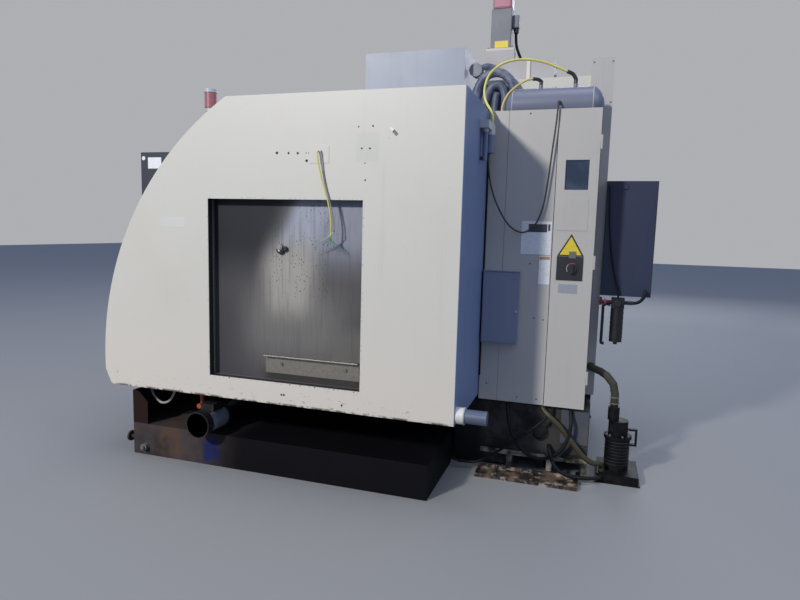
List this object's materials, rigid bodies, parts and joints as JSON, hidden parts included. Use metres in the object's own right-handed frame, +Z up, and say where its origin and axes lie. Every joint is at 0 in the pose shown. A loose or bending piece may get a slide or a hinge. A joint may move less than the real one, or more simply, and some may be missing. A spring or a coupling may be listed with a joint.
{
  "type": "cnc machining center",
  "caption": "Vertical machining centre with a curved sheet-metal enclosure, sliding doors, tool magazine, electrical cabinet, air tank and coolant tank.",
  "frame": {"origin": "on the floor, midway between the outermost left and right and the foremost and rearmost points", "axes": "+X to the side with the electrical cabinet, which the picture shows; +Y to the rear, where the pump and the rear box are; +Z up"},
  "size_m": [2.86, 3.4, 3.19],
  "materials": {
    "cream_paint": "satin, worn and stained",
    "slate_paint": "satin",
    "dark_slate_paint": "satin, dirty",
    "cover_paint": "satin",
    "tank_paint": "satin",
    "pale_metal": "satin",
    "black_metal": "satin",
    "cast_iron": "oiled",
    "bare_steel": "oiled and stained",
    "ground_steel": "ground",
    "rust_tray": "rusty",
    "red_plastic": "glossy",
    "lamp_red": "translucent lens",
    "green_plastic": "glossy",
    "black_plastic": "matte",
    "cabinet_glass": "smoked",
    "door_glass": "scratched",
    "screen_glass": "glossy, off",
    "yellow_hose": "satin",
    "black_hose": "dull",
    "grey_sheath": "dull",
    "yellow_sheath": "dull"
  },
  "bodies": {
    "machine": {"base_casting": "cream_paint", "levelling_feet": "black_metal", "column": "cream_paint", "guide_rails": "ground_steel", "side_panel_right": "cream_paint", "side_panel_left": "cream_paint", "inner_cover": "bare_steel", "angle_plate": "pale_metal", "front_end_panels": "cream_paint", "front_sill": "cream_paint", "roof_panel": "cream_paint", "rear_walls": "slate_paint", "splash_pan": "pale_metal", "coolant_tank": "dark_slate_paint", "drip_tray": "rust_tray", "auger_motor": "black_metal", "electrical_cabinet": "cream_paint", "cabinet_side_cover": "cream_paint", "switch_box": "slate_paint", "rear_duct": "cream_paint", "air_tank": "tank_paint", "rear_fittings": "pale_metal", "motor_bracket": "cream_paint", "servo_motors": "black_metal", "rear_box": "dark_slate_paint", "air_filter": "black_metal", "pump_unit": "black_metal", "signal_lamp": "lamp_red", "pendant_bracket": "cast_iron", "changer_bracket": "cream_paint", "hose_long": "yellow_hose", "hose_short": "yellow_hose", "loop_cable": "black_hose", "held_hoses": "black_hose", "panel_cable_yellow": "yellow_sheath", "panel_cable_grey": "grey_sheath"},
    "saddle": {"saddle": "cast_iron"},
    "table": {"table": "bare_steel"},
    "screw_x": {"screw_x": "ground_steel"},
    "screw_y": {"screw_y": "ground_steel"},
    "screw_z": {"screw_z": "ground_steel"},
    "head": {"spindle_head": "cream_paint", "head_cover": "cover_paint"},
    "spindle": {"spindle": "ground_steel"},
    "magazine": {"tool_magazine": "cast_iron"},
    "arm": {"changer_arm": "ground_steel"},
    "auger": {"chip_auger": "bare_steel"},
    "front_door_right": {"door_right": "cream_paint", "window_right": "door_glass"},
    "front_door_left": {"door_left": "cream_paint", "window_left": "door_glass"},
    "cabinet_door": {"cabinet_door": "cream_paint", "cabinet_window": "cabinet_glass", "main_switch_plate": "black_plastic"},
    "main_switch": {"main_switch_knob": "black_plastic"},
    "operator_panel": {"pendant": "black_metal", "pendant_screen": "screen_glass"},
    "stop_button": {"stop_button": "red_plastic"},
    "start_button": {"start_button": "green_plastic"},
    "mode_dial": {"mode_dial": "black_plastic"}
  },
  "joints": [
    {"name": "saddle_slide", "type": "slide", "parent": "machine", "child": "saddle", "axis": [0, 1, 0], "range_m": [-0.28, 0.28]},
    {"name": "table_slide", "type": "slide", "parent": "saddle", "child": "table", "axis": [1, 0, 0], "range_m": [-0.51, 0.51]},
    {"name": "head_slide", "type": "slide", "parent": "machine", "child": "head", "axis": [0, 0, 1], "range_m": [-0.6, 0]},
    {"name": "screw_x_turn", "type": "hinge", "parent": "saddle", "child": "screw_x", "pos_m": [0, -0.075, 0.645], "axis": [1, 0, 0], "continuous": true},
    {"name": "screw_y_turn", "type": "hinge", "parent": "machine", "child": "screw_y", "pos_m": [0, 0, 0.405], "axis": [0, 1, 0], "continuous": true},
    {"name": "screw_z_turn", "type": "hinge", "parent": "machine", "child": "screw_z", "pos_m": [0, 0.65, 1.5], "axis": [0, 0, 1], "continuous": true},
    {"name": "spindle_turn", "type": "hinge", "parent": "head", "child": "spindle", "pos_m": [0, -0.075, 1.9], "axis": [0, 0, 1], "continuous": true},
    {"name": "magazine_turn", "type": "hinge", "parent": "machine", "child": "magazine", "pos_m": [-0.78, -0.075, 1.78], "axis": [1, 0, 0], "continuous": true},
    {"name": "arm_turn", "type": "hinge", "parent": "machine", "child": "arm", "pos_m": [-0.33, -0.075, 1.6], "axis": [0, 0, 1], "range_deg": [0, 90]},
    {"name": "auger_turn", "type": "hinge", "parent": "machine", "child": "auger", "pos_m": [0, -0.861, 0.288], "axis": [1, 0, 0], "continuous": true},
    {"name": "door_right_slide", "type": "slide", "parent": "machine", "child": "front_door_right", "axis": [1, 0, 0], "range_m": [0, 0.6]},
    {"name": "door_left_slide", "type": "slide", "parent": "machine", "child": "front_door_left", "axis": [-1, 0, 0], "range_m": [0, 0.6]},
    {"name": "cabinet_door_hinge", "type": "hinge", "parent": "machine", "child": "cabinet_door", "pos_m": [0.722, 1.3585, 1.33], "axis": [0, 0, 1], "range_deg": [0, 110]},
    {"name": "main_switch_turn", "type": "hinge", "parent": "cabinet_door", "child": "main_switch", "pos_m": [0.74, 1.236, 1.291], "axis": [1, 0, 0], "range_deg": [0, 90]},
    {"name": "panel_swing", "type": "hinge", "parent": "machine", "child": "operator_panel", "pos_m": [0.895, -1.56, 1.33], "axis": [0, 0, 1], "range_deg": [0, 75]},
    {"name": "stop_press", "type": "slide", "parent": "operator_panel", "child": "stop_button", "axis": [0, 1, 0], "range_m": [0, 0.006], "stiffness_N_per_m": 2500},
    {"name": "start_press", "type": "slide", "parent": "operator_panel", "child": "start_button", "axis": [0, 1, 0], "range_m": [0, 0.004], "stiffness_N_per_m": 1500},
    {"name": "mode_turn", "type": "hinge", "parent": "operator_panel", "child": "mode_dial", "pos_m": [0.76, -1.67, 1.495], "axis": [0, 1, 0], "range_deg": [-120, 120]}
  ],
  "couplings": [
    {"joint": "screw_x_turn", "follows": "table_slide", "rad_per_m": 523.6},
    {"joint": "screw_y_turn", "follows": "saddle_slide", "rad_per_m": 523.6},
    {"joint": "screw_z_turn", "follows": "head_slide", "rad_per_m": 523.6}
  ]
}
